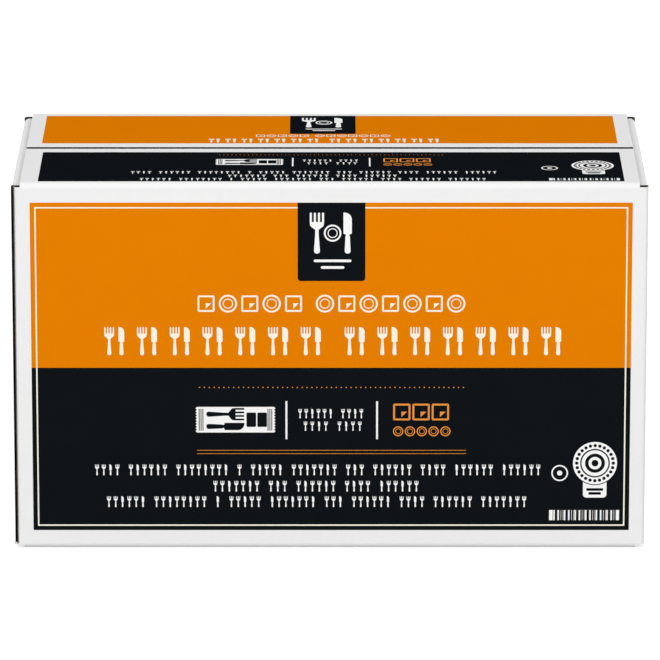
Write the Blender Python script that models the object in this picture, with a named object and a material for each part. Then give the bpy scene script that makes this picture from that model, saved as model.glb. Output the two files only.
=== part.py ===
"""Closed carton of wrapped cutlery packets: a regular slotted carton in B-flute corrugated board.

One printed sheet makes the whole carton. Four panels fold round into a tube. At the front left corner
the front panel's glue tab turns in behind the left panel, whose crushed edge faces the front. The side
panels' minor flaps fold in first, and the front and back panels' major flaps lie on them and meet at a
seam. Slots part the flaps at all eight corners, and the cut edges there and along the seams show the
fluted middle of the board.

Units are metres, +Z is up, and the front faces -Y. The origin is the middle of the base.
"""

import math

import bmesh
import bpy
from mathutils import Vector

# Outside of the closed carton, and its panels' height between the slots' roots
LENGTH = 0.4064
WIDTH = 0.1965
PANEL_HEIGHT = 0.2377

# Corrugated board: two liners and the wave between them
BOARD = 0.0028
LINER = 0.00035
MEDIUM = 0.0003
FLUTE_PITCH = 0.0065
FLUTE_DEPTH = 0.0022
FLUTE_MOUTH = 0.0006
WAVE_WIDE = 0.36  # half the width of a hollow at its liner, as a share of the pitch
WAVE_NARROW = 0.10  # and at the wave's far turn

# Folds, slots and flaps
CORNER_RADIUS = 0.0028
MAJOR_FOLD_RADIUS = 0.0040
MINOR_FOLD_RADIUS = 0.0032
SLOT = 0.0056
SEAM = 0.0045
UPPER_SEAM = -0.0027  # the upper flaps meet this far from the middle, towards the front
LOWER_SEAM = 0.0
MINOR_FLAP = 0.0965
SEAM_SHADOW = 0.0060
SLOT_SHADOW = 0.0050
CHANNEL_DEPTH = 0.0014

# Maker's joint: the left panel's crushed edge, and the crevice where the front panel turns in behind it
JOINT_BOARD = 0.0015
JOINT_SET_BACK = 0.0002
JOINT_GAP = 0.0003
JOINT_CREVICE = 0.0025
JOINT_FOLD_RADIUS = 0.0018
JOINT_HOLLOW = 0.0040

# Ink fields on the front panel, measured in from its edges and from its slots' roots
FRONT_SIDE_MARGIN = 0.0101
FRONT_TOP_MARGIN = 0.0101
FRONT_BOTTOM_MARGIN = 0.0096
FRONT_ORANGE_HEIGHT = 0.1092
KEYLINE_INSET = 0.0029
KEYLINE = 0.0010

# Ink fields on the two upper major flaps, measured from their ends, their folds and the seam
TOP_END_MARGIN = 0.0096
FAR_FOLD_MARGIN = 0.0100
FAR_SEAM_MARGIN = 0.0107
NEAR_SEAM_MARGIN = 0.0097
NEAR_FOLD_MARGIN = 0.0044

# The tab that hangs from the top of an orange field
TAB_WIDTH = 0.0432
TAB_DROP = 0.0516
TOP_TAB_MIDDLE = -0.0046

# Two groups of upright cutlery across the orange field, here as plain bars
CUTLERY_GROUPS = (-0.0758, 0.0783)
CUTLERY_COUNT = 7
CUTLERY_PITCH = 0.0210
CUTLERY_BAR = 0.0062
CUTLERY_DROP = 0.0922
CUTLERY_HEIGHT = 0.0187

# What a face shows: the board itself, or an ink on it
BOARD_WHITE, ORANGE, BLACK, CREAM = range(4)

# Other plain shapes on the front: ink, middle from the panel's middle, drop from the slots, width, height
FRONT_SHAPES = (
    (CREAM, -0.0520, 0.0740, 0.0675, 0.0060),
    (CREAM, 0.0381, 0.0740, 0.0955, 0.0060),
    (CREAM, -0.0614, 0.1453, 0.0495, 0.0171),
    (CREAM, -0.0287, 0.1415, 0.0012, 0.0254),
    (CREAM, 0.0297, 0.1415, 0.0012, 0.0254),
    (ORANGE, 0.0580, 0.1425, 0.0360, 0.0124),
    (ORANGE, 0.0580, 0.1579, 0.0360, 0.0042),
    (CREAM, -0.0086, 0.1860, 0.2869, 0.0030),
    (CREAM, -0.0090, 0.1970, 0.1336, 0.0030),
    (CREAM, -0.0093, 0.2073, 0.2705, 0.0030),
    (CREAM, 0.1635, 0.1705, 0.0250, 0.0250),
    (CREAM, 0.1635, 0.2146, 0.0452, 0.0068),
)

ARC_STEPS = 8
FOLD_SHADE_ANGLE = 30
CLEAR = 0.0020  # how far a cutter stands out of the board that it cuts
SAME_WAY = 0.999  # two directions are one where the cosine between them is above this
SAME_PLACE = 0.00001
CUT_MERGE = 0.0000001

HALF_LENGTH = LENGTH / 2
HALF_WIDTH = WIDTH / 2
SLOT_LOW = BOARD
SLOT_HIGH = BOARD + PANEL_HEIGHT
HEIGHT = PANEL_HEIGHT + 2 * BOARD
MAJOR_END = HALF_LENGTH - SLOT
MINOR_END = HALF_WIDTH - SLOT
JOINT_EDGE = -HALF_LENGTH + JOINT_BOARD


def clear_scene():
    for item in list(bpy.data.objects):
        bpy.data.objects.remove(item, do_unlink=True)


def ink(name, colour, roughness):
    """A plain material in the board's or an ink's colour."""
    material = bpy.data.materials.new(name)
    material.use_nodes = True
    shader = material.node_tree.nodes["Principled BSDF"]
    shader.inputs["Base Color"].default_value = (*colour, 1.0)
    shader.inputs["Roughness"].default_value = roughness
    shader.inputs["Metallic"].default_value = 0.0
    return material


def arc(centre, radius, start, end, steps=ARC_STEPS):
    """Points on a circle from one angle to another, in degrees."""
    points = []
    for step in range(steps + 1):
        angle = math.radians(start + (end - start) * step / steps)
        points.append((centre[0] + radius * math.cos(angle), centre[1] + radius * math.sin(angle)))
    return points


def add_prism(mesh, outline, low, high, place):
    """Adds the solid between two copies of an outline, which place() sets in space at low and high."""
    first = [mesh.verts.new(place(a, b, low)) for a, b in outline]
    second = [mesh.verts.new(place(a, b, high)) for a, b in outline]
    mesh.faces.new(first)
    mesh.faces.new(second)
    count = len(outline)
    for index in range(count):
        following = (index + 1) % count
        mesh.faces.new((first[index], first[following], second[following], second[index]))


def along_x(a, b, reach):
    return Vector((reach, a, b))


def along_y(a, b, reach):
    return Vector((a, reach, b))


def along_z(a, b, reach):
    return Vector((a, b, reach))


def add_box(mesh, low, high):
    outline = ((low[0], low[1]), (high[0], low[1]), (high[0], high[1]), (low[0], high[1]))
    add_prism(mesh, outline, low[2], high[2], along_z)


def new_object(name, mesh):
    """Makes an object of a bmesh whose faces are turned to point outwards."""
    bmesh.ops.recalc_face_normals(mesh, faces=mesh.faces)
    data = bpy.data.meshes.new(name)
    mesh.to_mesh(data)
    mesh.free()
    item = bpy.data.objects.new(name, data)
    bpy.context.scene.collection.objects.link(item)
    return item


def cut(item, mesh, name):
    """Takes a bmesh's solids away from an object and keeps the result as its mesh."""
    cutter = new_object(name, mesh)
    cutter.hide_render = True
    cutter.display_type = "WIRE"
    modifier = item.modifiers.new(name, "BOOLEAN")
    modifier.operation = "DIFFERENCE"
    modifier.solver = "EXACT"
    modifier.object = cutter
    graph = bpy.context.evaluated_depsgraph_get()
    result = bpy.data.meshes.new_from_object(item.evaluated_get(graph))
    item.modifiers.clear()
    item.data = result
    bpy.data.objects.remove(cutter, do_unlink=True)


def tube_outline():
    """The four panels seen from above, with three rounded corners and the maker's joint at the front left."""
    x, y, radius = HALF_LENGTH, HALF_WIDTH, CORNER_RADIUS
    outline = arc((x - radius, -y + radius), radius, -90, 0)
    outline += arc((x - radius, y - radius), radius, 0, 90)
    outline += arc((-x + radius, y - radius), radius, 90, 180)
    # The left panel's cut edge, the crevice beside it, and the fold that turns in there
    fold = JOINT_FOLD_RADIUS
    start = JOINT_EDGE + JOINT_GAP
    outline.append((-x, -y + JOINT_SET_BACK))
    outline.append((JOINT_EDGE, -y + JOINT_SET_BACK))
    outline.append((JOINT_EDGE, -y + JOINT_CREVICE))
    outline.append((start, -y + JOINT_CREVICE))
    outline += arc((start + fold, -y + fold), fold, 180, 270)
    return outline


def board_block():
    """The closed carton before any edge is folded round or slot cut."""
    mesh = bmesh.new()
    add_prism(mesh, tube_outline(), 0.0, HEIGHT, along_z)
    return new_object("carton", mesh)


def cut_end_steps(item):
    """The major flaps stop short of the side panels, and leave the minor flaps' folds in the open."""
    mesh = bmesh.new()
    for side in (-1, 1):
        inner, outer = sorted((side * MAJOR_END, side * (HALF_LENGTH + CLEAR)))
        reach = HALF_WIDTH + CLEAR
        add_box(mesh, (inner, -reach, SLOT_HIGH), (outer, reach, HEIGHT + CLEAR))
        add_box(mesh, (inner, -reach, -CLEAR), (outer, reach, SLOT_LOW))
    cut(item, mesh, "end_steps")


def fold_cutter(across, level, radius, way_across, way_up):
    """Outline of what a fold of this radius leaves out of a square edge at (across, level)."""
    centre = (across - way_across * radius, level - way_up * radius)
    corner = (across + way_across * CLEAR, level + way_up * CLEAR)
    outline = [
        (centre[0] + way_across * a, centre[1] + way_up * b) for a, b in arc((0.0, 0.0), radius, 0, 90)
    ]
    outline += [(centre[0], corner[1]), corner, (corner[0], centre[1])]
    return outline


def cut_major_folds(item):
    mesh = bmesh.new()
    for way_across in (-1, 1):
        for level, way_up in ((HEIGHT, 1), (0.0, -1)):
            outline = fold_cutter(way_across * HALF_WIDTH, level, MAJOR_FOLD_RADIUS, way_across, way_up)
            add_prism(mesh, outline, -MAJOR_END, MAJOR_END, along_x)
    cut(item, mesh, "major_folds")


def cut_minor_folds(item):
    mesh = bmesh.new()
    for way_across in (-1, 1):
        for level, way_up in ((SLOT_HIGH, 1), (SLOT_LOW, -1)):
            outline = fold_cutter(way_across * HALF_LENGTH, level, MINOR_FOLD_RADIUS, way_across, way_up)
            add_prism(mesh, outline, -MINOR_END, MINOR_END, along_y)
    cut(item, mesh, "minor_folds")


def upright(level, way_up, depth):
    """Low and high of a cut that goes this deep into the carton from a level."""
    return sorted((level + way_up * CLEAR, level - way_up * depth))


def cut_seams(item):
    """The gap between the major flaps, which goes deeper between the minor flaps' ends."""
    mesh = bmesh.new()
    end = MAJOR_END + CLEAR
    middle = HALF_LENGTH - MINOR_FLAP
    for slot_level, way_up, seam in ((SLOT_HIGH, 1, UPPER_SEAM), (SLOT_LOW, -1, LOWER_SEAM)):
        mouth = slot_level + way_up * (BOARD + CLEAR)
        bottom = slot_level - way_up * (BOARD + SEAM_SHADOW)
        outline = ((-end, mouth), (end, mouth), (end, slot_level), (middle, slot_level))
        outline += ((middle, bottom), (-middle, bottom), (-middle, slot_level), (-end, slot_level))
        add_prism(mesh, outline, seam - SEAM / 2, seam + SEAM / 2, along_y)
    cut(item, mesh, "seams")


def cut_corner_holes(item):
    """The pinhole that the slots leave inside each corner of the tube."""
    mesh = bmesh.new()
    for side in (-1, 1):
        x_inner, x_outer = sorted((side * MAJOR_END, side * (HALF_LENGTH - BOARD)))
        for face in (-1, 1):
            y_inner, y_outer = sorted((face * MINOR_END, face * (HALF_WIDTH - BOARD)))
            for level, way_up in ((SLOT_HIGH, 1), (SLOT_LOW, -1)):
                low, high = upright(level, way_up, SLOT_SHADOW)
                add_box(mesh, (x_inner, y_inner, low), (x_outer, y_outer, high))
    cut(item, mesh, "corner_holes")


def wave_pocket(middle, wide_side, narrow_side):
    """Outline of the hollow on one side of one wave: wide along a liner, narrow at the wave's far turn."""
    wide = FLUTE_PITCH * WAVE_WIDE
    narrow = FLUTE_PITCH * WAVE_NARROW
    return (
        (middle - wide, wide_side),
        (middle + wide, wide_side),
        (middle + narrow, narrow_side),
        (middle - narrow, narrow_side),
    )


def cut_seam_flutes(item):
    """The wave between the liners, open along all four edges that face a seam."""
    mesh = bmesh.new()
    count = math.floor(2 * (MAJOR_END - FLUTE_PITCH) / FLUTE_PITCH)
    start = -FLUTE_PITCH * (count - 1) / 2
    near = SEAM / 2 - FLUTE_MOUTH
    far = SEAM / 2 + FLUTE_DEPTH
    for base, seam in ((0.0, LOWER_SEAM), (SLOT_HIGH, UPPER_SEAM)):
        low, high = base + LINER, base + BOARD - LINER
        for index in range(count):
            middle = start + index * FLUTE_PITCH
            upper = wave_pocket(middle, high, low + MEDIUM)
            lower = wave_pocket(middle + FLUTE_PITCH / 2, low, high - MEDIUM)
            for outline in (upper, lower):
                add_prism(mesh, outline, seam + near, seam + far, along_y)
                add_prism(mesh, outline, seam - far, seam - near, along_y)
    cut(item, mesh, "seam_flutes")


def cut_slot_flutes(item):
    """The wave where the slots end, in the cut edges of the panels at all eight corners."""
    mesh = bmesh.new()
    inset = LINER
    for side in (-1, 1):
        for face in (-1, 1):
            for level, way_up in ((SLOT_HIGH, 1), (SLOT_LOW, -1)):
                low, high = upright(level, way_up, FLUTE_DEPTH)
                along_front = sorted((side * (MAJOR_END + inset), side * (HALF_LENGTH - BOARD - inset)))
                across_front = sorted((face * (HALF_WIDTH - LINER), face * (HALF_WIDTH - BOARD + LINER)))
                add_box(mesh, (along_front[0], across_front[0], low), (along_front[1], across_front[1], high))
                along_side = sorted((face * (MINOR_END + inset), face * (HALF_WIDTH - BOARD - inset)))
                across_side = sorted((side * (HALF_LENGTH - LINER), side * (HALF_LENGTH - BOARD + LINER)))
                add_box(mesh, (across_side[0], along_side[0], low), (across_side[1], along_side[1], high))
    cut(item, mesh, "slot_flutes")


def cut_flap_end_channels(item):
    """The major flaps' ends are cut along the flutes, so a channel runs between their liners."""
    mesh = bmesh.new()
    near = SEAM / 2 + FLUTE_MOUTH
    far = HALF_WIDTH - MAJOR_FOLD_RADIUS
    for base, seam in ((0.0, LOWER_SEAM), (SLOT_HIGH, UPPER_SEAM)):
        for side in (-1, 1):
            inner, outer = sorted((side * (MAJOR_END - CHANNEL_DEPTH), side * (MAJOR_END + CLEAR)))
            for face in (-1, 1):
                first, second = sorted((seam + face * near, face * far))
                low = (inner, first, base + LINER)
                high = (outer, second, base + BOARD - LINER)
                add_box(mesh, low, high)
    cut(item, mesh, "flap_end_channels")


def cut_joint_channel(item):
    """The left panel's edge at the maker's joint is open along the flutes, from slot to slot."""
    mesh = bmesh.new()
    low = (-HALF_LENGTH + LINER, -HALF_WIDTH - CLEAR, SLOT_LOW - CLEAR)
    high = (JOINT_EDGE - LINER, -HALF_WIDTH + JOINT_HOLLOW, SLOT_HIGH + CLEAR)
    add_box(mesh, low, high)
    cut(item, mesh, "joint_channel")


def rectangle(middle, top, width, height):
    """Left, bottom, right and top of a shape on the front panel, from its middle and its drop."""
    return (middle - width / 2, top - height, middle + width / 2, top)


def frame_of(left, bottom, right, top, line):
    """Four thin rectangles that run round the inside of a rectangle."""
    return (
        (left, top - line, right, top),
        (left, bottom, right, bottom + line),
        (left, bottom, left + line, top),
        (right - line, bottom, right, top),
    )


def front_print():
    """Every shape on the front panel as (ink, left, bottom, right, top), the later ones over the earlier."""
    left = JOINT_EDGE + FRONT_SIDE_MARGIN
    right = HALF_LENGTH - FRONT_SIDE_MARGIN
    top = SLOT_HIGH - FRONT_TOP_MARGIN
    bottom = SLOT_LOW + FRONT_BOTTOM_MARGIN
    middle = (left + right) / 2
    border = top - FRONT_ORANGE_HEIGHT
    shapes = [(ORANGE, left, border, right, top), (BLACK, left, bottom, right, border)]
    inset = KEYLINE_INSET
    for line in frame_of(left + inset, bottom + inset, right - inset, top - inset, KEYLINE):
        shapes.append((CREAM, *line))
    shapes.append((BLACK, *rectangle(middle, top, TAB_WIDTH, TAB_DROP)))
    for group in CUTLERY_GROUPS:
        for index in range(CUTLERY_COUNT):
            place = middle + group + (index - (CUTLERY_COUNT - 1) / 2) * CUTLERY_PITCH
            shapes.append((CREAM, *rectangle(place, SLOT_HIGH - CUTLERY_DROP, CUTLERY_BAR, CUTLERY_HEIGHT)))
    for colour, offset, drop, width, height in FRONT_SHAPES:
        shapes.append((colour, *rectangle(middle + offset, SLOT_HIGH - drop, width, height)))
    return shapes


def top_print():
    """The two fields on the upper major flaps and the tab on the far one, in the same form."""
    end = MAJOR_END - TOP_END_MARGIN
    far = HALF_WIDTH - FAR_FOLD_MARGIN
    far_seam = UPPER_SEAM + SEAM / 2 + FAR_SEAM_MARGIN
    near_seam = UPPER_SEAM - SEAM / 2 - NEAR_SEAM_MARGIN
    near = -HALF_WIDTH + NEAR_FOLD_MARGIN
    return [
        (ORANGE, -end, far_seam, end, far),
        (BLACK, -end, near, end, near_seam),
        (BLACK, *rectangle(TOP_TAB_MIDDLE, far, TAB_WIDTH, TAB_DROP)),
    ]


def paint(item, shapes, outwards, up):
    """Parts the flat face on one side along the borders of the shapes, and gives each piece its ink."""
    mesh = bmesh.new()
    mesh.from_mesh(item.data)
    across = Vector((1.0, 0.0, 0.0))
    level = max(vert.co.dot(outwards) for vert in mesh.verts)

    def side_faces():
        return [
            face for face in mesh.faces
            if face.normal.dot(outwards) > SAME_WAY
            and abs(face.calc_center_median().dot(outwards) - level) < SAME_PLACE
        ]

    borders = {(across.to_tuple(), value) for shape in shapes for value in (shape[1], shape[3])}
    borders |= {(up.to_tuple(), value) for shape in shapes for value in (shape[2], shape[4])}
    for way, value in sorted(borders):
        chosen = side_faces()
        edges = {edge for face in chosen for edge in face.edges}
        verts = {vert for face in chosen for vert in face.verts}
        geometry = list(verts) + list(edges) + chosen
        way = Vector(way)
        bmesh.ops.bisect_plane(mesh, geom=geometry, dist=CUT_MERGE, plane_co=way * value, plane_no=way)
    for face in side_faces():
        centre = face.calc_center_median()
        for colour, left, bottom, right, top in shapes:
            if left < centre.dot(across) < right and bottom < centre.dot(up) < top:
                face.material_index = colour
    mesh.to_mesh(item.data)
    mesh.free()


def main():
    clear_scene()
    carton = board_block()
    cut_end_steps(carton)
    cut_major_folds(carton)
    cut_minor_folds(carton)
    cut_seams(carton)
    cut_corner_holes(carton)
    cut_flap_end_channels(carton)
    cut_joint_channel(carton)
    cut_slot_flutes(carton)
    cut_seam_flutes(carton)
    carton.data.materials.clear()
    carton.data.materials.append(ink("white_board", (0.85, 0.85, 0.84), 0.6))
    carton.data.materials.append(ink("orange_ink", (0.78, 0.21, 0.001), 0.5))
    carton.data.materials.append(ink("black_ink", (0.007, 0.008, 0.010), 0.5))
    carton.data.materials.append(ink("bare_board_in_the_print", (0.90, 0.87, 0.80), 0.6))
    paint(carton, front_print(), Vector((0.0, -1.0, 0.0)), Vector((0.0, 0.0, 1.0)))
    paint(carton, top_print(), Vector((0.0, 0.0, 1.0)), Vector((0.0, 1.0, 0.0)))
    carton.data.shade_smooth()
    carton.data.set_sharp_from_angle(angle=math.radians(FOLD_SHADE_ANGLE))


main()
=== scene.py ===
# %% [markdown]
# This is a closed shipping carton of wrapped cutlery packets. The real one is a single sheet of
# white-faced corrugated board, printed flat, folded and glued. This lesson loads the carton's solid
# model, gives its board a paper finish, and prints the front and the top with thin layers of ink.

# %% Load the carton's solid model
import math

import bpy
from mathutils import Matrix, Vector


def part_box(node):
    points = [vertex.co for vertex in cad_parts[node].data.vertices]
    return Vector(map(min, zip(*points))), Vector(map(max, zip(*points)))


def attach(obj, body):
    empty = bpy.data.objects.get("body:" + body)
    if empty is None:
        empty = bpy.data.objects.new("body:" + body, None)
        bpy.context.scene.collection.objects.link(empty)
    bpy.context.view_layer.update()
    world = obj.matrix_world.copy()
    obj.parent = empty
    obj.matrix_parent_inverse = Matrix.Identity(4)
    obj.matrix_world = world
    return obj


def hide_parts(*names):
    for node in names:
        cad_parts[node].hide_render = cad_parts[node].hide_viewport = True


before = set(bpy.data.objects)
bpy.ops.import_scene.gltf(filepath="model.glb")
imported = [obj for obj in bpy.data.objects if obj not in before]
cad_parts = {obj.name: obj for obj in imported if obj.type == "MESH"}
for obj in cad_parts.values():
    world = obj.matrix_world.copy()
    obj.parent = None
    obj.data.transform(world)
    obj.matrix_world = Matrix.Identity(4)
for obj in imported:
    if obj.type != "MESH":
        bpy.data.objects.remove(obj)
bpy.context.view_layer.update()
carton_low, carton_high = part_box("carton")
HALF_LENGTH = carton_high.x
HALF_WIDTH = carton_high.y
HEIGHT = carton_high.z
print("carton", [round(side, 4) for side in carton_high - carton_low])

# %% [markdown]
# The photograph was taken from far off with a long lens, from the middle of the front and a little
# above, so the carton's edges hardly run together. The camera's distance, height, tilt and lens were
# solved from the corners of the carton, and the lens is measured against Blender's 36 mm sensor.

# %% Set up the camera
CAMERA_PLACE = (0.00014, -4.0636, 1.2181)
CAMERA_TILT = math.radians(15.125)
CAMERA_LENS = 349.63
CAMERA_SENSOR = 36.0
CAMERA_REACH = 40.0  # well past the far end of the floor

bpy.ops.object.camera_add(location=CAMERA_PLACE, rotation=(math.pi / 2 - CAMERA_TILT, 0.0, 0.0))
camera = bpy.context.object
camera.name = "front_camera"
camera.data.lens = CAMERA_LENS
camera.data.sensor_width = CAMERA_SENSOR
camera.data.clip_end = CAMERA_REACH
bpy.context.scene.camera = camera
bpy.context.scene.view_settings.view_transform = "Standard"
print("camera", camera.data.lens, "mm")

# %% [markdown]
# Nearly every step below works on one object at a time in edit mode. An operator acts on all that is
# selected, so one helper leaves only one object selected, and another picks corners, edges or faces by
# where they lie, which is what a person does with the mouse.

# %% Helpers that select and edit
def only(piece):
    """Leaves one object selected and active."""
    bpy.ops.object.select_all(action="DESELECT")
    piece.select_set(True)
    bpy.context.view_layer.objects.active = piece


def pick(piece, kind, wanted):
    """Opens edit mode with the corners, edges or faces selected that the test wants."""
    only(piece)
    data = piece.data
    bpy.ops.object.mode_set(mode="EDIT")
    bpy.ops.mesh.select_mode(type=kind)
    bpy.ops.mesh.select_all(action="DESELECT")
    bpy.ops.object.mode_set(mode="OBJECT")
    if kind == "VERT":
        for vert in data.vertices:
            vert.select = wanted(vert.co)
    elif kind == "EDGE":
        for edge in data.edges:
            first, second = (data.vertices[index].co for index in edge.vertices)
            edge.select = wanted((first + second) / 2, second - first)
    else:
        for face in data.polygons:
            face.select = wanted(face.center, face.normal)
    bpy.ops.object.mode_set(mode="EDIT")


def done():
    """Closes edit mode."""
    bpy.ops.object.mode_set(mode="OBJECT")


def settle(piece):
    """Writes an object's place, turn and scale into its mesh."""
    only(piece)
    bpy.ops.object.transform_apply(location=True, rotation=True, scale=True)


# %% [markdown]
# Board and ink are both dry paper to the touch. A flat colour would look like plastic, so the paper
# material lets its tone wander a little, roughens it with fine fibres, and raises the faint washboard
# that the flutes press through the liner. The flutes run up the panels, so on the front, back, top and
# bottom the washboard repeats along the length, and on the two ends along the width.

# %% A paper material
FLUTE_PITCH = 0.0065
WAVE_TEXTURE_TURN = 20.0  # a wave texture of scale 1 turns through this many radians in a metre
WASHBOARD = 0.00002
FIBRE_HEIGHT = 0.000012
FIBRE_SCALE = 1400.0
CLOUD_SCALE = 55.0
NOISE_LOW, NOISE_HIGH = 0.25, 0.75  # nearly all of a noise texture lies between these
ROUGHNESS_SWING = 0.06


def paper(name, colour, roughness, shine, cloud, flutes="X"):
    """A matt paper surface. cloud says how far its tone wanders, and flutes where they repeat."""
    material = bpy.data.materials.new(name)
    material.use_nodes = True
    tree = material.node_tree
    shader = tree.nodes["Principled BSDF"]
    shader.inputs["Specular IOR Level"].default_value = shine
    place = tree.nodes.new("ShaderNodeTexCoord").outputs["Object"]

    clouds = tree.nodes.new("ShaderNodeTexNoise")
    clouds.inputs["Scale"].default_value = CLOUD_SCALE
    clouds.inputs["Detail"].default_value = 4.0
    tree.links.new(place, clouds.inputs["Vector"])
    tone = tree.nodes.new("ShaderNodeMapRange")
    tone.inputs["From Min"].default_value = NOISE_LOW
    tone.inputs["From Max"].default_value = NOISE_HIGH
    tone.inputs["To Min"].default_value = 1.0 - cloud
    tone.inputs["To Max"].default_value = 1.0 + cloud
    tree.links.new(clouds.outputs["Fac"], tone.inputs["Value"])
    tinted = tree.nodes.new("ShaderNodeVectorMath")
    tinted.operation = "SCALE"
    tinted.inputs[0].default_value = colour
    tree.links.new(tone.outputs["Result"], tinted.inputs["Scale"])
    tree.links.new(tinted.outputs["Vector"], shader.inputs["Base Color"])

    fibres = tree.nodes.new("ShaderNodeTexNoise")
    fibres.inputs["Scale"].default_value = FIBRE_SCALE
    fibres.inputs["Detail"].default_value = 5.0
    tree.links.new(place, fibres.inputs["Vector"])
    gloss = tree.nodes.new("ShaderNodeMapRange")
    gloss.inputs["To Min"].default_value = roughness - ROUGHNESS_SWING
    gloss.inputs["To Max"].default_value = roughness + ROUGHNESS_SWING
    tree.links.new(fibres.outputs["Fac"], gloss.inputs["Value"])
    tree.links.new(gloss.outputs["Result"], shader.inputs["Roughness"])

    waves = tree.nodes.new("ShaderNodeTexWave")
    waves.bands_direction = flutes
    waves.inputs["Scale"].default_value = 2 * math.pi / FLUTE_PITCH / WAVE_TEXTURE_TURN
    tree.links.new(place, waves.inputs["Vector"])
    ridges = tree.nodes.new("ShaderNodeBump")
    ridges.inputs["Distance"].default_value = WASHBOARD
    tree.links.new(waves.outputs["Fac"], ridges.inputs["Height"])
    grain = tree.nodes.new("ShaderNodeBump")
    grain.inputs["Distance"].default_value = FIBRE_HEIGHT
    tree.links.new(fibres.outputs["Fac"], grain.inputs["Height"])
    tree.links.new(ridges.outputs["Normal"], grain.inputs["Normal"])
    tree.links.new(grain.outputs["Normal"], shader.inputs["Normal"])
    return material


# %% [markdown]
# The liner is a clean white. The wave inside the board is brown, and shows only where the board is cut.
# Shade is painted into the cuts where hardly any light reaches: a darker brown in the narrow slots and on
# the glued edge's inner liner, and close to black on every face of the seams, the holes at the slot roots,
# and the outer liner and hollow of the glued edge. The inks soak into the paper and dry matt, with hardly
# a shine. Where the print leaves the board bare, a layer of white or cream stands for the board.

# %% Board and ink colours
LINER_WHITE = (0.86, 0.86, 0.86)
SMOOTH_PAPER = 0.75
CUT_PAPER = 0.85

white_long = paper("white_liner_long_panels", LINER_WHITE, SMOOTH_PAPER, shine=0.10, cloud=0.008)
white_end = paper("white_liner_end_panels", LINER_WHITE, SMOOTH_PAPER, shine=0.10, cloud=0.008, flutes="Y")
kraft = paper("kraft_flap_end", (0.42, 0.30, 0.19), CUT_PAPER, shine=0.05, cloud=0.12)
# kraft darkened by painted shade, for the narrow slots and the glued edge's inner liner
kraft_painted_shade = paper("kraft_with_painted_shade", (0.045, 0.031, 0.020), CUT_PAPER, shine=0.0, cloud=0.15)
# near black painted shade, for the seams, the holes at the slot roots and the glued edge's hollow
shade = paper("painted_shade_near_black", (0.008, 0.0065, 0.005), CUT_PAPER, shine=0.0, cloud=0.15)
orange = paper("orange_ink", (0.775, 0.212, 0.0006), SMOOTH_PAPER, shine=0.0, cloud=0.012)
black = paper("black_ink", (0.0058, 0.0075, 0.0095), SMOOTH_PAPER, shine=0.0, cloud=0.05)
bare = paper("bare_white_in_the_print", (0.93, 0.93, 0.925), SMOOTH_PAPER, shine=0.05, cloud=0.006)
cream = paper("cream_in_the_print", (0.93, 0.895, 0.77), SMOOTH_PAPER, shine=0.05, cloud=0.006)
light_orange = paper("light_orange_ink", (0.83, 0.30, 0.05), SMOOTH_PAPER, shine=0.0, cloud=0.012)
print("materials", len(bpy.data.materials))

# %% [markdown]
# The carton itself is already true to size in the solid model, down to the slots, the folds and the
# open flutes along its cut edges. What it lacks is which side of the board each face shows, and where
# shade is painted into its cuts and gaps. The faces are told apart by where they lie, so the places of
# the cuts come first.

# %% Where the board is cut
BOARD = 0.0028
LINER = 0.00035
SLOT = 0.0056
SEAM = 0.0045
UPPER_SEAM = -0.0027  # the upper flaps meet this far from the middle, towards the front
FLUTE_DEPTH = 0.0022
FLAP_CHANNEL = 0.0014  # how far in the flutes are open from the end of a major flap
MAJOR_FOLD = 0.0040
PINHOLE = 0.0050  # how deep the hole at the root of a slot goes
SEAM_SHADOW = 0.0060  # how far the dark gap goes on behind the minor flaps
JOINT_BOARD = 0.0015
JOINT_HOLLOW = 0.0040
TOUCH = 0.00005  # a place this close to a limit counts as on it
FACING = 0.5  # a normal that reaches this far along an axis counts as facing that way

SLOT_HIGH = HEIGHT - BOARD
SLOT_LOW = BOARD
MAJOR_END = HALF_LENGTH - SLOT
MINOR_END = HALF_WIDTH - SLOT
JOINT_EDGE = -HALF_LENGTH + JOINT_BOARD
print("front panel starts at", round(JOINT_EDGE, 4))

# %% Which side of the board a face shows, or what painted shade it gets
LINER_LONG, LINER_END, FLAP_END, PAINTED_SHADE_KRAFT, PAINTED_SHADE_BLACK = range(5)


def in_seam(middle, above):
    """The walls, the hollows and the floor of the gap between two major flaps."""
    seam = UPPER_SEAM if middle.z > HEIGHT / 2 else 0.0
    beside = abs(middle.y - seam) < SEAM / 2 + FLUTE_DEPTH + TOUCH
    under_liner = -BOARD - SEAM_SHADOW - TOUCH < above < BOARD - TOUCH
    return beside and under_liner and abs(middle.x) < MAJOR_END + TOUCH


def in_joint(middle, end):
    """The open edge of the left panel at the front left corner, from the outside as far as an end."""
    across = -HALF_LENGTH + TOUCH < middle.x < end + TOUCH
    return across and -HALF_WIDTH + TOUCH < middle.y < -HALF_WIDTH + JOINT_HOLLOW + TOUCH


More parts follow.
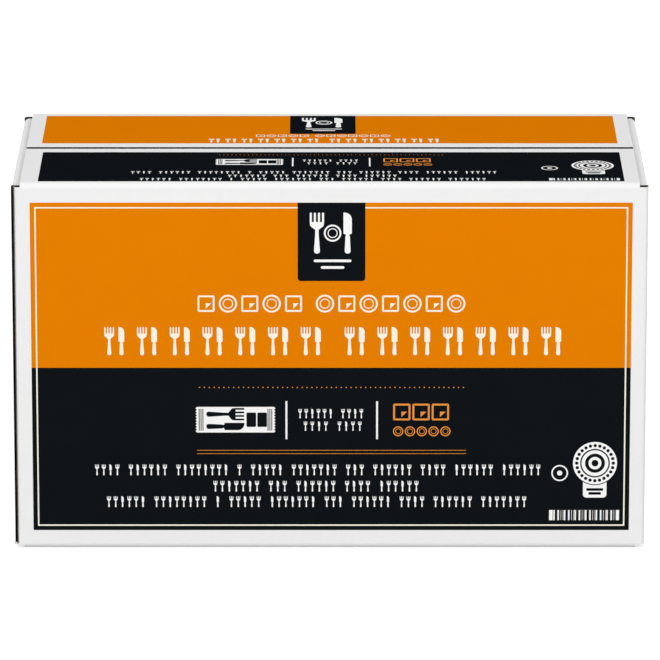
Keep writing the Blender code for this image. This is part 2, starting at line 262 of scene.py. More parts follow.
def side_or_painted_shade(middle, normal):
    across, deep = abs(middle.x), abs(middle.y)
    above = max(middle.z - SLOT_HIGH, SLOT_LOW - middle.z)
    # every face of the seams and the glued edge's outer liner and hollow gets near black painted shade
    if in_seam(middle, above) or in_joint(middle, JOINT_EDGE - LINER):
        return PAINTED_SHADE_BLACK
    # the glued edge's inner liner gets kraft darkened by painted shade
    if in_joint(middle, JOINT_EDGE):
        return PAINTED_SHADE_KRAFT
    at_flap_end = MAJOR_END - FLAP_CHANNEL - TOUCH < across < MAJOR_END + TOUCH
    cut_across = abs(normal.x) > FACING or deep < HALF_WIDTH - MAJOR_FOLD
    if at_flap_end and cut_across and TOUCH < above < BOARD - TOUCH:
        return FLAP_END
    in_slot = MAJOR_END - TOUCH < across < HALF_LENGTH - TOUCH
    in_corner = in_slot and MINOR_END - TOUCH < deep < HALF_WIDTH - TOUCH
    # the slot roots get kraft darkened by painted shade, and near black painted shade below the flutes
    if in_corner and -PINHOLE - TOUCH < above < TOUCH:
        return PAINTED_SHADE_BLACK if above < -FLUTE_DEPTH - TOUCH else PAINTED_SHADE_KRAFT
    if abs(normal.x) > FACING or across > MAJOR_END + TOUCH and abs(normal.z) > FACING:
        return LINER_END
    return LINER_LONG


# %% [markdown]
# A copy of the solid is merged, because its triangles come loose. It is cut through where the major
# flaps end, so that no face lies half on the open liner and half in the seam. Once each face has its
# side, flat faces of one side are joined again, the folds are shaded round, and a Weighted Normal
# modifier keeps the flats even beside them.

# %% The folded board
SAME_CORNER = 0.000001
SAME_PLACE = 0.00001
FLAT_ANGLE = math.radians(0.5)
SMOOTH_ANGLE = math.radians(30)


def model_board():
    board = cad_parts["carton"].copy()
    board.data = board.data.copy()
    board.name = "folded_board"
    board.parent = None
    bpy.context.scene.collection.objects.link(board)
    for key in list(board.keys()):
        del board[key]
    only(board)
    bpy.ops.object.mode_set(mode="EDIT")
    bpy.ops.mesh.select_all(action="SELECT")
    bpy.ops.mesh.remove_doubles(threshold=SAME_CORNER)
    for place in (-MAJOR_END, MAJOR_END):
        bpy.ops.mesh.select_all(action="SELECT")
        bpy.ops.mesh.bisect(plane_co=(place, 0.0, 0.0), plane_no=(1.0, 0.0, 0.0), threshold=SAME_PLACE)
    done()
    board.data.materials.clear()
    for material in (white_long, white_end, kraft, kraft_painted_shade, shade):
        board.data.materials.append(material)
    for face in board.data.polygons:
        face.material_index = side_or_painted_shade(face.center, face.normal)
    bpy.ops.object.mode_set(mode="EDIT")
    bpy.ops.mesh.select_all(action="SELECT")
    bpy.ops.mesh.dissolve_limited(angle_limit=FLAT_ANGLE, delimit={"MATERIAL"})
    done()
    bpy.ops.object.shade_smooth_by_angle(angle=SMOOTH_ANGLE)
    weighted = board.modifiers.new("even_flats", "WEIGHTED_NORMAL")
    weighted.keep_sharp = True
    bpy.ops.object.modifier_apply(modifier="even_flats")
    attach(board, "root")
    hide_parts("carton")
    return board


board = model_board()
print("board faces", len(board.data.polygons))

# %% [markdown]
# All of the print is flat, so each shape is drawn flat first, face up at the origin, as on a cutting
# mat. Bars and discs are enough for most of it. A ring is a disc that is inset by the width of its line
# and then loses its middle, and a frame is made from a bar in the same way.

# %% Bars, discs and rings
CORNER_STEPS = 4


def bar(left, top, width, height, rounding=0.0):
    """A flat bar from its upper left corner, with rounded corners where wanted."""
    bpy.ops.mesh.primitive_plane_add(size=1.0, location=(left + width / 2, top - height / 2, 0.0))
    piece = bpy.context.object
    piece.scale = (width, height, 1.0)
    settle(piece)
    if rounding:
        pick(piece, "VERT", lambda place: True)
        bpy.ops.mesh.bevel(affect="VERTICES", offset=rounding, segments=CORNER_STEPS)
        done()
    return piece


def disc(x, y, radius, corners=24):
    """A flat disc about a place."""
    bpy.ops.mesh.primitive_circle_add(vertices=corners, radius=radius, fill_type="NGON",
                                      location=(x, y, 0.0))
    piece = bpy.context.object
    settle(piece)
    return piece


def hollow(piece, line):
    """Leaves only a line of this width round the inside of a flat shape."""
    pick(piece, "FACE", lambda place, normal: True)
    bpy.ops.mesh.inset(thickness=line)
    bpy.ops.mesh.delete(type="FACE")
    done()
    return piece


def ring(x, y, radius, line, corners=40):
    """A flat ring about a place, whose line lies inside its radius."""
    return hollow(disc(x, y, radius, corners), line)


# %% [markdown]
# A shape that repeats is modelled once and copied, each copy with its own mesh. All the shapes of one
# ink are then joined into one sheet. The sheet gets a thickness and is stood against the front or laid
# on the top. Real ink is thinner still, but a twentieth of a millimetre keeps the layers apart.

# %% Copies, sheets and layers of ink
INK = 0.00005


def put(original, x, y, size, turn=0.0):
    """A copy with its own mesh, scaled, turned in the plane and moved to (x, y)."""
    only(original)
    bpy.ops.object.duplicate()
    piece = bpy.context.object
    piece.scale = (size, size, 1.0)
    piece.rotation_euler = (0.0, 0.0, turn)
    piece.location = (x, y, 0.0)
    settle(piece)
    return piece


def sheet(name, shapes):
    """Joins flat shapes into one piece that faces up."""
    bpy.ops.object.select_all(action="DESELECT")
    for shape in shapes:
        shape.select_set(True)
    bpy.context.view_layer.objects.active = shapes[0]
    bpy.ops.object.join()
    piece = bpy.context.object
    piece.name = name
    pick(piece, "FACE", lambda place, normal: normal.z < 0)
    bpy.ops.mesh.flip_normals()
    done()
    return piece


def lay(piece, face, layer, material):
    """Gives a sheet the thickness of ink and lays it on the front or the top, in its layer."""
    only(piece)
    thick = piece.modifiers.new("ink", "SOLIDIFY")
    thick.thickness = INK
    thick.offset = 1.0
    bpy.ops.object.modifier_apply(modifier="ink")
    piece.location = (0.0, 0.0, layer * INK)
    settle(piece)
    if face == "front":
        piece.rotation_euler = (math.pi / 2, 0.0, 0.0)
        piece.location = (0.0, -HALF_WIDTH, SLOT_HIGH)
    else:
        piece.location = (0.0, 0.0, HEIGHT)
    settle(piece)
    piece.data.materials.clear()
    piece.data.materials.append(material)
    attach(piece, "root")
    print(piece.name, len(piece.data.polygons), "faces")


# %% [markdown]
# The front carries an orange field over a black one, with a margin of bare board round them. On the
# drawing mat the front's slots end at y = 0, and everything is drawn below that at its real drop. The
# top has the orange on the far flap and the black on the near flap, drawn about the carton's middle.

# %% Ink fields
FRONT_LEFT_MARGIN = 0.0103
FRONT_RIGHT_MARGIN = 0.0100
FRONT_BOTTOM_MARGIN = 0.0096
TOP_END_MARGIN = 0.0096
FAR_FOLD_MARGIN = 0.0100
FAR_SEAM_MARGIN = 0.0107
NEAR_SEAM_MARGIN = 0.0097
NEAR_FOLD_MARGIN = 0.0044
NEAR_SET_IN = 0.0018  # the black on the top starts this much further in at its left than the orange

FRONT_LEFT = JOINT_EDGE + FRONT_LEFT_MARGIN
FRONT_RIGHT = HALF_LENGTH - FRONT_RIGHT_MARGIN
FRONT_TOP = -0.0101
FRONT_BORDER = -0.1193
FRONT_BOTTOM = SLOT_LOW - SLOT_HIGH + FRONT_BOTTOM_MARGIN
TOP_SIDE = MAJOR_END - TOP_END_MARGIN
TOP_FAR = HALF_WIDTH - FAR_FOLD_MARGIN
TOP_FAR_SEAM = UPPER_SEAM + SEAM / 2 + FAR_SEAM_MARGIN
TOP_NEAR_SEAM = UPPER_SEAM - SEAM / 2 - NEAR_SEAM_MARGIN
TOP_NEAR = -HALF_WIDTH + NEAR_FOLD_MARGIN
TOP_NEAR_LEFT = -TOP_SIDE + NEAR_SET_IN


def field(name, face, left, right, top, bottom, material):
    lay(sheet(name, [bar(left, top, right - left, top - bottom)]), face, 0, material)


field("print_front_orange_field", "front", FRONT_LEFT, FRONT_RIGHT, FRONT_TOP, FRONT_BORDER, orange)
field("print_front_black_field", "front", FRONT_LEFT, FRONT_RIGHT, FRONT_BORDER, FRONT_BOTTOM, black)
field("print_top_orange_field", "top", -TOP_SIDE, TOP_SIDE, TOP_FAR, TOP_FAR_SEAM, orange)
field("print_top_black_field", "top", TOP_NEAR_LEFT, TOP_SIDE, TOP_NEAR_SEAM, TOP_NEAR, black)

# %% [markdown]
# A thin cream line runs round the front just inside both fields, and a black tab hangs over it from
# the top of the orange. The top of the carton has the tab as well, but no line.

# %% Keyline and tabs
KEYLINE_INSET = 0.0029
KEYLINE = 0.0009
TAB_WIDTH = 0.0432
TAB_DROP = 0.0516
TAB_ROUNDING = 0.0020
TAB_CORNER_STEPS = 5
FRONT_TAB_MIDDLE = 0.0011
TOP_TAB_MIDDLE = -0.0046

line_left = FRONT_LEFT + KEYLINE_INSET
line_top = FRONT_TOP - KEYLINE_INSET
line_width = FRONT_RIGHT - FRONT_LEFT - 2 * KEYLINE_INSET
line_height = FRONT_TOP - FRONT_BOTTOM - 2 * KEYLINE_INSET
keyline = hollow(bar(line_left, line_top, line_width, line_height), KEYLINE)
lay(sheet("print_front_keyline", [keyline]), "front", 1, cream)


def tab(name, face, middle, top):
    """A black tab whose two lower corners are rounded."""
    piece = bar(middle - TAB_WIDTH / 2, top, TAB_WIDTH, TAB_DROP)
    pick(piece, "VERT", lambda place: place.y < top - TAB_DROP / 2)
    bpy.ops.mesh.bevel(affect="VERTICES", offset=TAB_ROUNDING, segments=TAB_CORNER_STEPS)
    done()
    lay(sheet(name, [piece]), face, 2, black)


tab("print_front_tab", "front", FRONT_TAB_MIDDLE, FRONT_TOP)
tab("print_top_tab", "top", TOP_TAB_MIDDLE, TOP_FAR)

# %% [markdown]
# The pictures show what the packets hold. The fork is modelled once, one unit tall. A plane is its
# handle, and the handle's upper edge is extruded into a neck and shoulders. That edge is then cut into
# an odd number of equal pieces, and the first, the third and so on are drawn out into tines. The knife
# is drawn from its handle up in the same way, and one corner of its blade is bevelled. The small print
# repeats both hundreds of times, so it gets a plainer pair with three tines and single bevels, which
# stays at a few dozen faces.

# %% A handle, and how its top is raised
HANDLE_FOOT = -0.5
HANDLE_WIDTH = 0.14
HANDLE_ROUNDING = 0.066
NEAR = 0.001


def handle(top, narrowing, segments):
    """A handle from its foot up to its top, with a rounded end."""
    piece = bar(-HANDLE_WIDTH / 2, top, HANDLE_WIDTH, top - HANDLE_FOOT)
    pick(piece, "VERT", lambda place: place.y < HANDLE_FOOT + NEAR)
    bpy.ops.mesh.bevel(affect="VERTICES", offset=HANDLE_ROUNDING, segments=segments)
    done()
    pick(piece, "VERT", lambda place: place.y > top - NEAR)
    bpy.ops.transform.resize(value=(narrowing, 1.0, 1.0), center_override=(0.0, top, 0.0))
    done()
    return piece


def pick_top(piece, level, wanted=lambda place: True):
    """Opens edit mode with the level edges at the top selected, or those of them that the test wants."""
    pick(piece, "EDGE", lambda place, way: place.y > level - NEAR and abs(way.y) < NEAR and wanted(place))


def raise_top(piece, level, rise, share):
    """Extrudes the top edge up by a rise and makes it wider or narrower. Gives its new level."""
    pick_top(piece, level)
    bpy.ops.mesh.extrude_edges_move(TRANSFORM_OT_translate={"value": (0.0, rise, 0.0)})
    bpy.ops.transform.resize(value=(share, 1.0, 1.0), center_override=(0.0, level + rise, 0.0))
    done()
    return level + rise


# %% A fork and a knife, one unit tall
FORK_HANDLE_TOP = -0.04
FORK_NECK = 0.6  # how wide the top of the handle is, as a share of its foot
FORK_RISES = ((0.12, 0.95), (0.04, 2.2), (0.03, 1.5), (0.04, 1.22), (0.08, 1.05))  # rise and widening
TINE_RISE = 0.23
TINE_ROUNDING = 0.4  # as a share of a tine's width
KNIFE_HANDLE_TOP = -0.08
KNIFE_NECK = 0.75
KNIFE_RISES = ((0.04, 0.7), (0.03, 2.7), (0.51, 1.0))
KNIFE_POINT = 0.17


def model_fork(tines, segments):
    piece = handle(FORK_HANDLE_TOP, FORK_NECK, segments)
    level = FORK_HANDLE_TOP
    for rise, share in FORK_RISES:
        level = raise_top(piece, level, rise, share)
    pick_top(piece, level)
    bpy.ops.mesh.subdivide(number_cuts=2 * tines - 2)
    done()
    side = max(vert.co.x for vert in piece.data.vertices)
    step = 2 * side / (2 * tines - 1)
    pick_top(piece, level, lambda place: round((place.x + side) / step - 0.5) % 2 == 0)
    bpy.ops.mesh.extrude_edges_move(TRANSFORM_OT_translate={"value": (0.0, TINE_RISE, 0.0)})
    bpy.ops.mesh.select_mode(type="VERT")
    bpy.ops.mesh.bevel(affect="VERTICES", offset=step * TINE_ROUNDING, segments=max(segments // 2, 1))
    done()
    return piece


def model_knife(segments):
    piece = handle(KNIFE_HANDLE_TOP, KNIFE_NECK, segments)
    level = KNIFE_HANDLE_TOP
    for rise, share in KNIFE_RISES:
        level = raise_top(piece, level, rise, share)
    pick(piece, "VERT", lambda place: place.y > level - NEAR and place.x > 0.0)
    bpy.ops.mesh.bevel(affect="VERTICES", offset=KNIFE_POINT, segments=segments + 2)
    done()
    return piece


fork, knife = model_fork(4, 4), model_knife(4)
small_fork, small_knife = model_fork(3, 1), model_knife(1)
print("fork corners", len(fork.data.vertices), "and small", len(small_fork.data.vertices))
print("knife corners", len(knife.data.vertices), "and small", len(small_knife.data.vertices))

# %% [markdown]
# Two more small pictures are line drawings: a plate is two rings, and a napkin is a square outline with
# one corner turned over. The turned corner is a square that bisect cuts along its diagonal.

# %% A plate and a napkin, one unit wide
OUTLINE = 0.100
PLATE_RADIUS = 0.5
WELL_RADIUS = 0.28
WELL_LINE = 0.050
WELL_CORNERS = 28
NAPKIN_SIDE = 0.92
NAPKIN_ROUNDING = 0.08
TURNED_SIDE = 0.30
TURNED_MIDDLE = 0.13  # the turned corner's middle is this far to the right of the napkin's and below it


def model_plate():
    rim = ring(0.0, 0.0, PLATE_RADIUS, OUTLINE)
    well = ring(0.0, 0.0, WELL_RADIUS, WELL_LINE, WELL_CORNERS)
    return sheet("plate_pattern", [rim, well])


def model_napkin():
    side = NAPKIN_SIDE / 2
    outline = hollow(bar(-side, side, NAPKIN_SIDE, NAPKIN_SIDE, NAPKIN_ROUNDING), OUTLINE)
    turned = bar(TURNED_MIDDLE - TURNED_SIDE / 2, TURNED_SIDE / 2 - TURNED_MIDDLE, TURNED_SIDE, TURNED_SIDE)
    pick(turned, "FACE", lambda place, normal: True)
    bpy.ops.mesh.bisect(plane_co=(TURNED_MIDDLE, -TURNED_MIDDLE, 0.0), plane_no=(1.0, -1.0, 0.0),
                        clear_outer=True)
    done()
    return sheet("napkin_pattern", [outline, turned])


plate = model_plate()
napkin = model_napkin()
print("plate", len(plate.data.polygons), "faces, napkin", len(napkin.data.polygons), "faces")

# %% [markdown]
# Two rows of pictures run across each orange field, both in two groups. The upper row alternates
# napkins and plates, and the lower row repeats a fork beside a knife. The rows on the top are smaller
# and closer together, because the flap has less room.

# %% Rows of pictures
PLATE_SIZE = 0.0118
PLATE_PITCH = 0.0140
PLATE_GROUPS = ((-0.0520, 5), (0.0381, 7))  # the middle of each group and how many pictures it has
CUTLERY_SIZE = 0.0187
CUTLERY_PITCH = 0.0210
CUTLERY_GROUPS = ((-0.0758, 7), (0.0783, 7))
FORK_ASIDE = -0.0034
KNIFE_ASIDE = 0.0044


def row(groups, pitch):
    """Places along a row, from the first picture of its first group to the last of its last."""
    return [middle + (index - (count - 1) / 2) * pitch for middle, count in groups for index in range(count)]


def picture_rows(name, face, middle, plate_line, pair_line, spread, size):
    """Both rows of one face. spread draws the pictures together, and size makes them smaller."""
    shapes = []
    for index, x in enumerate(row(PLATE_GROUPS, PLATE_PITCH)):
        pattern = plate if index % 2 else napkin
        shapes.append(put(pattern, middle + x * spread, plate_line, PLATE_SIZE * size))
    for x in row(CUTLERY_GROUPS, CUTLERY_PITCH):
        x = middle + x * spread
        shapes.append(put(fork, x + FORK_ASIDE * size, pair_line, CUTLERY_SIZE * size))
        shapes.append(put(knife, x + KNIFE_ASIDE * size, pair_line, CUTLERY_SIZE * size))
    lay(sheet(name, shapes), face, 1, cream)


picture_rows("print_front_picture_rows", "front", middle=0.0008, plate_line=-0.0767, pair_line=-0.1016,
             spread=1.0, size=1.0)
picture_rows("print_top_picture_rows", "top", middle=-0.0045, plate_line=0.0312, pair_line=0.0179,
             spread=0.512, size=0.55)

# %% [markdown]
# Each tab holds a place setting: a fork, a plate and a knife over two short dashes. Small forks and
# knives also fill the lines of small print below. A short rhythm sets how many stand together before a
# gap, so that no two lines look alike.

# %% The tab's picture and lines of small cutlery
SETTING_SIZE = 0.0270
SETTING_RISE = 0.0058  # from the tab's middle up to the middle of the fork, the plate and the knife
SETTING_FORK = -0.0093
SETTING_KNIFE = 0.0103
SETTING_PLATE = 0.0007
SETTING_RINGS = ((0.0056, 0.0011, 32), (0.0032, 0.0006, 24))  # radius, line and corners of each
DASHES = ((-0.0113, 0.0116, 0.0240), (-0.0068, 0.0160, 0.0150))  # left end, drop and width of each
DASH = 0.0017
DASH_ROUNDING = 0.0008
RHYTHM = (4, 6, 8, 1, 5, 7, 3, 6)
KNIFE_EVERY = 3
SMALL_PITCH = 0.58  # from one small fork or knife to the next, as a share of its height
SMALL_MARGIN = 0.17  # from a line's end to the middle of its outermost picture, as such a share


def tab_picture(name, face, middle, centre):
    line = centre + SETTING_RISE
    shapes = [put(fork, middle + SETTING_FORK, line, SETTING_SIZE)]
    shapes.append(put(knife, middle + SETTING_KNIFE, line, SETTING_SIZE))
    for radius, width, corners in SETTING_RINGS:
        shapes.append(ring(middle + SETTING_PLATE, line, radius, width, corners))
    for left, drop, width in DASHES:
        shapes.append(bar(middle + left, centre - drop, width, DASH, DASH_ROUNDING))
    lay(sheet(name, shapes), face, 3, bare)


def cutlery_line(left, right, middle, height, first):
    """Small forks and knives from left to right, in groups as long as the steps of the rhythm."""
    left, right = left + height * SMALL_MARGIN, right - height * SMALL_MARGIN
    count = round((right - left) / (height * SMALL_PITCH))
    step = (right - left) / (count - 1)
    group, still = first, RHYTHM[first]
    shapes = []
    for index in range(count):
        if still == 0:
            group += 1
            still = RHYTHM[group % len(RHYTHM)]
            continue
        pattern = small_knife if len(shapes) % KNIFE_EVERY == KNIFE_EVERY - 1 else small_fork
        shapes.append(put(pattern, left + index * step, middle, height))
        still -= 1
    return shapes


tab_picture("print_front_tab_picture", "front", FRONT_TAB_MIDDLE, FRONT_TOP - TAB_DROP / 2)
tab_picture("print_top_tab_picture", "top", TOP_TAB_MIDDLE, TOP_FAR - TAB_DROP / 2)

# %% [markdown]
# The packet in the small print is a bar whose two short ends are cut to teeth, as a heat seal is: the
# ends are subdivided and every second corner is drawn outwards. Thin lines stand for the seals, and a
# fork, a knife and two small sachets lie between them, in black on the bare white.

# %% The packet
PACKET_LEFT = -0.0865
PACKET_TOP = -0.0130
PACKET_WIDTH = 0.0495
PACKET_HEIGHT = 0.0171
TEETH = 9
PACKED_SIZE = 0.0245
PACKED_MIDDLE = 0.0182  # from the packet's left end, as are the places of its sachets and seals
PACKED_FORK_RISE = 0.0037
PACKED_KNIFE_DROP = 0.0045
SACHET_PLACES = (0.0318, 0.0388)
SACHET_WIDTH = 0.0062
SACHET_HEIGHT = 0.0096
SACHET_ROUNDING = 0.0008
SEAL_PLACES = (0.0011, 0.0023, 0.0035, 0.0454, 0.0466, 0.0478)
SEAL_LINE = 0.0006
SEAL_HEIGHT = 0.0146


def packet():
    piece = bar(PACKET_LEFT, PACKET_TOP, PACKET_WIDTH, PACKET_HEIGHT)
    middle = PACKET_LEFT + PACKET_WIDTH / 2
    pick(piece, "EDGE", lambda place, way: abs(way.x) < TOUCH)
    bpy.ops.mesh.subdivide(number_cuts=2 * TEETH - 1)
    done()
    step = PACKET_HEIGHT / (2 * TEETH)
    for side in (-1, 1):
        pick(piece, "VERT", lambda place: (place.x - middle) * side > PACKET_WIDTH / 2 - TOUCH
             and round((PACKET_TOP - place.y) / step) % 2 == 1)
        bpy.ops.transform.translate(value=(side * step, 0.0, 0.0))
        done()
    return piece


def packet_contents():
    """A fork over a knife, two sachets beside them, and three seal lines at each end."""
    x, y = PACKET_LEFT + PACKED_MIDDLE, PACKET_TOP - PACKET_HEIGHT / 2
    shapes = [put(fork, x, y + PACKED_FORK_RISE, PACKED_SIZE, -math.pi / 2)]
    shapes.append(put(knife, x, y - PACKED_KNIFE_DROP, PACKED_SIZE, -math.pi / 2))
    for place in SACHET_PLACES:
        corner = (PACKET_LEFT + place, y + SACHET_HEIGHT / 2)
        shapes.append(bar(*corner, SACHET_WIDTH, SACHET_HEIGHT, SACHET_ROUNDING))
    for place in SEAL_PLACES:
        shapes.append(bar(PACKET_LEFT + place, y + SEAL_HEIGHT / 2, SEAL_LINE, SEAL_HEIGHT))
    return shapes


# %% [markdown]
# The band of small print is the same on the front and on the near top flap, only smaller there. Each
# sheet of it has its own function, which draws from the middle of the dotted rule to both sides and
# down. In light orange are the rule and the napkins and plates under it. In white are the packet, two
# dividers and small cutlery, and then the three lines at the bottom, which are narrowed a little more on
# the top. Only the front has a double rule as well.

# %% The band of small print
DOTS = 55
DOT_PITCH = 0.00314
DOT = 0.0004
DOT_CORNERS = 8
DIVIDER_PLACES = (-0.0290, 0.0293)
DIVIDER_TOP = -0.0092
DIVIDER = 0.0012
DIVIDER_HEIGHT = 0.0254
GROUP_HEIGHT = 0.0064
LINE_HEIGHT = 0.0074


def small_row(pattern, count, first, pitch, line, size):
    return [put(pattern, first + index * pitch, line, size) for index in range(count)]


def light_orange_band():
    shapes = [disc((index - (DOTS - 1) / 2) * DOT_PITCH, 0.0, DOT, DOT_CORNERS) for index in range(DOTS)]
    shapes += small_row(napkin, count=3, first=0.0452, pitch=0.0124, line=-0.0164, size=0.0121)
    shapes += small_row(plate, count=5, first=0.0429, pitch=0.0076, line=-0.0293, size=0.0066)
    return shapes


def white_band():
    shapes = [packet()]
    for x in DIVIDER_PLACES:
        shapes.append(bar(x - DIVIDER / 2, DIVIDER_TOP, DIVIDER, DIVIDER_HEIGHT))
    shapes += cutlery_line(left=-0.0213, right=0.0203, middle=-0.0175, height=GROUP_HEIGHT, first=1)
    shapes += cutlery_line(left=-0.0178, right=0.0193, middle=-0.0259, height=GROUP_HEIGHT, first=0)
    return shapes


def small_print():
    shapes = cutlery_line(left=-0.1524, right=0.1345, middle=-0.0552, height=LINE_HEIGHT, first=0)
    shapes += cutlery_line(left=-0.0761, right=0.0605, middle=-0.0662, height=LINE_HEIGHT, first=5)
    shapes += cutlery_line(left=-0.1449, right=0.1256, middle=-0.0766, height=LINE_HEIGHT, first=1)
    return shapes


def print_band(name, face, shapes, place, size, layer, material):
    """Joins the shapes of one sheet, fits them to their face and lays them on it."""
    piece = sheet(name, shapes)
    piece.scale = (*size, 1.0)
    piece.location = (*place, 0.0)
    settle(piece)
    lay(piece, face, layer, material)


# %% Lay the small print on both faces
BANDS = (  # face, then place and size of the band, then place and size of its three lines
    ("front", (0.0011, -0.1324), (1.0, 1.0), (0.0011, -0.1324), (1.0, 1.0)),
    ("top", (0.0008, -0.0222), (0.852, 0.90), (-0.0030, -0.0222), (0.816, 0.865)),
)
RULE_LEFT = -0.0855
RULE_WIDTH = 0.1733
RULE_LEVELS = (-0.1743, -0.1765)
RULE = 0.0003

for face, place, size, lines_place, lines_size in BANDS:
    print_band(f"print_{face}_band_white", face, white_band(), place, size, 1, bare)
    print_band(f"print_{face}_band_orange", face, light_orange_band(), place, size, 1, light_orange)
    print_band(f"print_{face}_packet_contents", face, packet_contents(), place, size, 2, black)
    print_band(f"print_{face}_small_print", face, small_print(), lines_place, lines_size, 1, bare)

rules = [bar(RULE_LEFT, level, RULE_WIDTH, RULE) for level in RULE_LEVELS]
lay(sheet("print_front_double_rule", rules), "front", 1, light_orange)

# %% [markdown]
# At the right stand three small marks: a plain ring with a dot, a round badge on a foot, and a strip of
# bars. The badge is built in layers like a sticker: the foot, a black edge, a white disc, and rings and
# dots on that. The dots are set round a circle with a sine and a cosine.

# %% Badge, ring and strip
BADGE_RADIUS = 0.0142
BADGE_EDGE = 0.0006
BADGE_CORNERS = 48
BADGE_RINGS = ((0.0096, 0.0009), (0.0064, 0.0022))  # radius and line of each
BADGE_MIDDLE = 0.0022
BADGE_DOTS = 24
BADGE_DOT = 0.0011
BADGE_DOT_CORNERS = 10
BADGE_DOT_REACH = 0.0118  # from the badge's middle to each dot's
FOOT_DROP = 0.0100
FOOT_WIDTH = 0.0152
FOOT_HEIGHT = 0.0132
FOOT_ROUNDING = 0.0022
FOOT_MARKS = ((0.0169, 0.0108), (0.0195, 0.0080))  # drop from the badge's middle and width of each
FOOT_MARK = 0.0017
RING_RADIUS = 0.0054
RING_LINE = 0.0009
RING_DOT = 0.0017
RING_DOT_CORNERS = 16
STRIP_WIDTH = 0.0452
STRIP_BARS = 30
STRIP_SPARE = 3  # the strip is this many steps longer than its bars need
STRIP_MARGIN = 1.7  # steps before the first bar
THIN_BAR = 0.25  # widths of the bars, as shares of a step
WIDER_BY = 0.18


def badge_marks(x, y, size):
    """Two rings, a dot in the middle and a circle of dots."""
    shapes = [ring(x, y, radius * size, line * size) for radius, line in BADGE_RINGS]
    shapes.append(disc(x, y, BADGE_MIDDLE * size))
    reach = BADGE_DOT_REACH * size
    for index in range(BADGE_DOTS):
        turn = 2 * math.pi * index / BADGE_DOTS
        place = (x + reach * math.cos(turn), y + reach * math.sin(turn))
        shapes.append(disc(*place, BADGE_DOT * size, BADGE_DOT_CORNERS))
    return shapes


def strip_bars(left, top, height):
    """Black bars whose widths follow a short repeating sum."""
    step = STRIP_WIDTH / (STRIP_BARS + STRIP_SPARE)
    shapes = []
    for index in range(STRIP_BARS):
        width = step * (THIN_BAR + WIDER_BY * ((index * index + 3 * index) % 5))
        shapes.append(bar(left + step * (index + STRIP_MARGIN), top, width, height))
    return shapes


def badge_foot(x, y, size):
    """The foot under the badge, and the marks on it."""
    foot = bar(x - FOOT_WIDTH / 2 * size, y - FOOT_DROP * size, FOOT_WIDTH * size, FOOT_HEIGHT * size,
               FOOT_ROUNDING * size)
    foot_marks = []
    for drop, width in FOOT_MARKS:
        foot_marks.append(bar(x - width / 2 * size, y - drop * size, width * size, FOOT_MARK * size))
    return foot, foot_marks


def marks(name, face, ring_place, badge_place, size, strip_place, strip_height):
    """All the marks of one face, in five layers. size is the badge's."""
    x, y = badge_place
    foot, foot_marks = badge_foot(x, y, size)
    rings = [ring(*ring_place, RING_RADIUS, RING_LINE), disc(*ring_place, RING_DOT, RING_DOT_CORNERS)]
    slip = bar(*strip_place, STRIP_WIDTH, strip_height)
    lay(sheet(name + "_white", rings + [foot, slip]), face, 1, bare)
    lay(sheet(name + "_black", foot_marks + strip_bars(*strip_place, strip_height)), face, 2, black)
    edge = disc(x, y, BADGE_RADIUS * size + BADGE_EDGE, BADGE_CORNERS)
    lay(sheet(name + "_badge_edge", [edge]), face, 3, black)
    lay(sheet(name + "_badge", [disc(x, y, BADGE_RADIUS * size, BADGE_CORNERS)]), face, 4, bare)
    lay(sheet(name + "_badge_rings", badge_marks(x, y, size)), face, 5, black)


# %% Lay the marks on both faces
marks("print_front_marks", "front", ring_place=(0.1482, -0.1897), badge_place=(0.1709, -0.1830), size=1.0,
      strip_place=(0.1416, -0.2146), strip_height=0.0068)
marks("print_top_marks", "top", ring_place=(0.1413, -0.0583), badge_place=(0.1692, -0.0522), size=0.96,
      strip_place=(0.1400, -0.0857), strip_height=0.0056)

# %% [markdown]
# The six patterns were only there to be copied, so they are taken off the drawing mat again.

# %% Clear the drawing mat
for pattern in (fork, knife, small_fork, small_knife, plate, napkin):
    bpy.data.objects.remove(pattern)

# %% [markdown]
# The carton stands on a plain pale floor. Seen directly or in a reflection, the floor and the world read
# as white, but the light that they throw on the carton stays at a plain level. A Light Path node tells
# these rays apart, and the floor adds its white as a glow over a matt surface, so it keeps the shadow.

# %% The floor
FLOOR_SIDE = 14.0
FLOOR_PLACE = (0.0, 1.5, -0.0002)  # just under the carton, so that the two share no plane
FLOOR_TONE = 0.65
FLOOR_GLOW = 0.6


def seen_directly(tree):
    """One for camera, glossy and transmission rays, and zero for the rays that light surfaces."""
    path = tree.nodes.new("ShaderNodeLightPath")
    result = path.outputs["Is Camera Ray"]
    for name in ("Is Glossy Ray", "Is Transmission Ray"):
        either = tree.nodes.new("ShaderNodeMath")
        either.operation = "MAXIMUM"
        tree.links.new(result, either.inputs[0])
        tree.links.new(path.outputs[name], either.inputs[1])
        result = either.outputs["Value"]
    return result


def floor_finish():
    material = bpy.data.materials.new("studio_floor_white")
    material.use_nodes = True
    tree = material.node_tree
    tree.nodes.clear()
    matt = tree.nodes.new("ShaderNodeBsdfDiffuse")
    matt.inputs["Color"].default_value = (FLOOR_TONE, FLOOR_TONE, FLOOR_TONE, 1.0)
    glow = tree.nodes.new("ShaderNodeEmission")
    glow.inputs["Strength"].default_value = FLOOR_GLOW
    both = tree.nodes.new("ShaderNodeAddShader")
    mix = tree.nodes.new("ShaderNodeMixShader")
    output = tree.nodes.new("ShaderNodeOutputMaterial")
    tree.links.new(matt.outputs["BSDF"], both.inputs[0])
    tree.links.new(glow.outputs["Emission"], both.inputs[1])
    tree.links.new(seen_directly(tree), mix.inputs["Fac"])
    tree.links.new(matt.outputs["BSDF"], mix.inputs[1])
    tree.links.new(both.outputs["Shader"], mix.inputs[2])
    tree.links.new(mix.outputs["Shader"], output.inputs["Surface"])
    return material


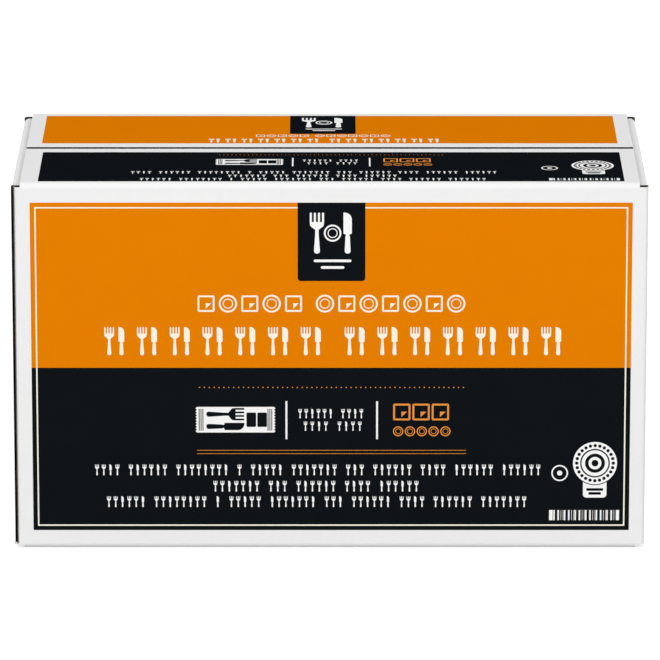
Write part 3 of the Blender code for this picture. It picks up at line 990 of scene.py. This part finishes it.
bpy.ops.mesh.primitive_plane_add(size=FLOOR_SIDE, location=FLOOR_PLACE)
floor = bpy.context.object
floor.name = "studio_floor"
settle(floor)
floor.data.materials.append(floor_finish())
print("floor", FLOOR_SIDE, "m wide")

# %% The world
WORLD_LIGHT = 0.36


def studio_world():
    """White to the eye, and a plain level of light to the carton."""
    world = bpy.data.worlds.new("studio_world")
    bpy.context.scene.world = world
    world.use_nodes = True
    tree = world.node_tree
    tree.nodes.clear()
    level = tree.nodes.new("ShaderNodeMapRange")
    level.inputs["To Min"].default_value = WORLD_LIGHT
    level.inputs["To Max"].default_value = 1.0
    background = tree.nodes.new("ShaderNodeBackground")
    output = tree.nodes.new("ShaderNodeOutputWorld")
    background.inputs["Color"].default_value = (1.0, 1.0, 1.0, 1.0)
    tree.links.new(seen_directly(tree), level.inputs["Value"])
    tree.links.new(level.outputs["Result"], background.inputs["Strength"])
    tree.links.new(background.outputs["Background"], output.inputs["Surface"])


studio_world()
print("world light", WORLD_LIGHT)

# %% [markdown]
# Four wide soft lamps stand far off round the carton, so that the light is as even as in a photo studio.
# The front pair stands a little to the left and right of the camera and above it, which makes the front
# panel slightly lighter than the top, as in the photograph, and leaves the ends a shade darker. The rear
# pair stands low behind the carton and far round to its sides, so that it lights the back and the ends
# without a sheen on the top.

# %% The lamps
LAMP_DISTANCE = 7.0
LAMP_SIDE = 3.2
FRONT_TURN = 20  # degrees round the carton from its front
FRONT_RISE = 38
FRONT_LIGHT = 0.374
REAR_TURN = 140
REAR_RISE = 6
REAR_LIGHT = 0.38


def lamp(name, azimuth, elevation, level):
    """A soft lamp whose light, square on, lights a white surface to this level."""
    turn, rise = math.radians(azimuth), math.radians(elevation)
    way = Vector((math.sin(turn) * math.cos(rise), -math.cos(turn) * math.cos(rise), math.sin(rise)))
    bpy.ops.object.light_add(type="AREA", location=way * LAMP_DISTANCE + Vector((0.0, 0.0, HEIGHT / 2)))
    item = bpy.context.object
    item.name = name
    item.data.size = LAMP_SIDE
    item.data.energy = level * math.pi ** 2 * LAMP_DISTANCE ** 2
    item.rotation_euler = way.to_track_quat("Z", "Y").to_euler()
    item.visible_camera = False


lamp("front_left_softbox", -FRONT_TURN, FRONT_RISE, FRONT_LIGHT)
lamp("front_right_softbox", FRONT_TURN, FRONT_RISE, FRONT_LIGHT)
lamp("rear_left_softbox", -REAR_TURN, REAR_RISE, REAR_LIGHT)
lamp("rear_right_softbox", REAR_TURN, REAR_RISE, REAR_LIGHT)
print("lamps", len(bpy.data.lights))
